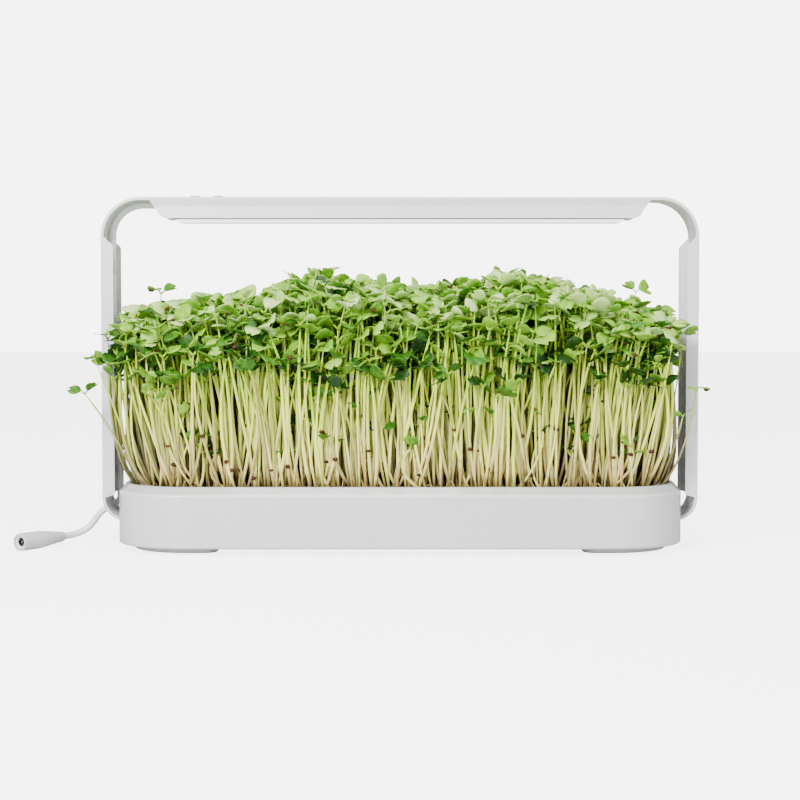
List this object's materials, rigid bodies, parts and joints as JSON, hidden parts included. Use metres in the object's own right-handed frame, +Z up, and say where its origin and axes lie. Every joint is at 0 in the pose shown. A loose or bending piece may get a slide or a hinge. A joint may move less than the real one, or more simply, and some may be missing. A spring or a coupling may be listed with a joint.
{
  "type": "countertop hydroponic garden",
  "caption": "Countertop growing garden: bent steel hoop with a lamp bar and buttons over a stoneware bowl with tray, seed mats and a cress crop, and a short power lead.",
  "frame": {"origin": "on the table, under the middle of the hoop", "axes": "+X along the bowl to the right, +Y away from the front, +Z up"},
  "size_m": [0.4517, 0.1392, 0.234],
  "materials": {
    "coated_steel": "fine powder coat",
    "foot_plastic": "fine moulded texture",
    "rubber_pad": "matt",
    "brass_insert": "machined",
    "zinc_screw": "zinc plated",
    "aluminium_channel": "drawn",
    "white_board": "solder resist",
    "led_chip": "phosphor cover",
    "opal_diffuser": "opal satin",
    "white_plastic": "moulded",
    "green_board": "solder resist",
    "black_plastic": "moulded",
    "button_plastic": "satin",
    "lead_jacket": "soft vinyl",
    "socket_grip": "soft vinyl",
    "contact_metal": "plated",
    "stoneware": "satin glaze",
    "silicone": "soft",
    "tray_plastic": "moulded",
    "felt_mat": "fibre felt",
    "cress": "living plant"
  },
  "bodies": {
    "stand": {"frame_hoop": "coated_steel", "foot_right": "foot_plastic", "foot_left": "foot_plastic", "foot_pads": "rubber_pad", "foot_inserts": "brass_insert", "foot_screws": "zinc_screw", "lamp_heat_sink": "aluminium_channel", "lamp_nuts": "zinc_screw", "lamp_screws": "zinc_screw", "led_board": "white_board", "led_chips": "led_chip", "lamp_diffuser": "opal_diffuser", "lamp_cap_right": "white_plastic", "lamp_cap_left": "white_plastic", "control_board": "green_board", "board_spacers": "white_plastic", "board_screws": "zinc_screw", "board_link": "white_plastic", "lead_terminal": "black_plastic", "switch_power": "black_plastic", "switch_timer": "black_plastic", "held_lead": "lead_jacket", "lead_clips": "white_plastic", "exit_grommet": "lead_jacket", "power_tail": "lead_jacket", "socket_shell": "socket_grip", "socket_insert": "white_plastic", "socket_barrel": "contact_metal", "socket_pin": "contact_metal"},
    "bowl": {"bowl": "stoneware", "bowl_bumpers": "silicone"},
    "tray": {"seed_tray": "tray_plastic", "mat_left": "felt_mat", "mat_middle": "felt_mat", "mat_right": "felt_mat", "crop_left": "cress", "crop_middle": "cress", "crop_right": "cress"},
    "button_power": {"button_power": "button_plastic"},
    "button_timer": {"button_timer": "button_plastic"}
  },
  "joints": [
    {"name": "bowl_lift", "type": "slide", "parent": "stand", "child": "bowl", "axis": [0, 0, 1], "range_m": [0, 0.016]},
    {"name": "tray_lift", "type": "slide", "parent": "bowl", "child": "tray", "axis": [0, 0, 1], "range_m": [0, 0.012]},
    {"name": "power_press", "type": "slide", "parent": "stand", "child": "button_power", "axis": [0, 0, -1], "range_m": [0, 0.0005], "stiffness_N_per_m": 400},
    {"name": "timer_press", "type": "slide", "parent": "stand", "child": "button_timer", "axis": [0, 0, -1], "range_m": [0, 0.0005], "stiffness_N_per_m": 400}
  ]
}
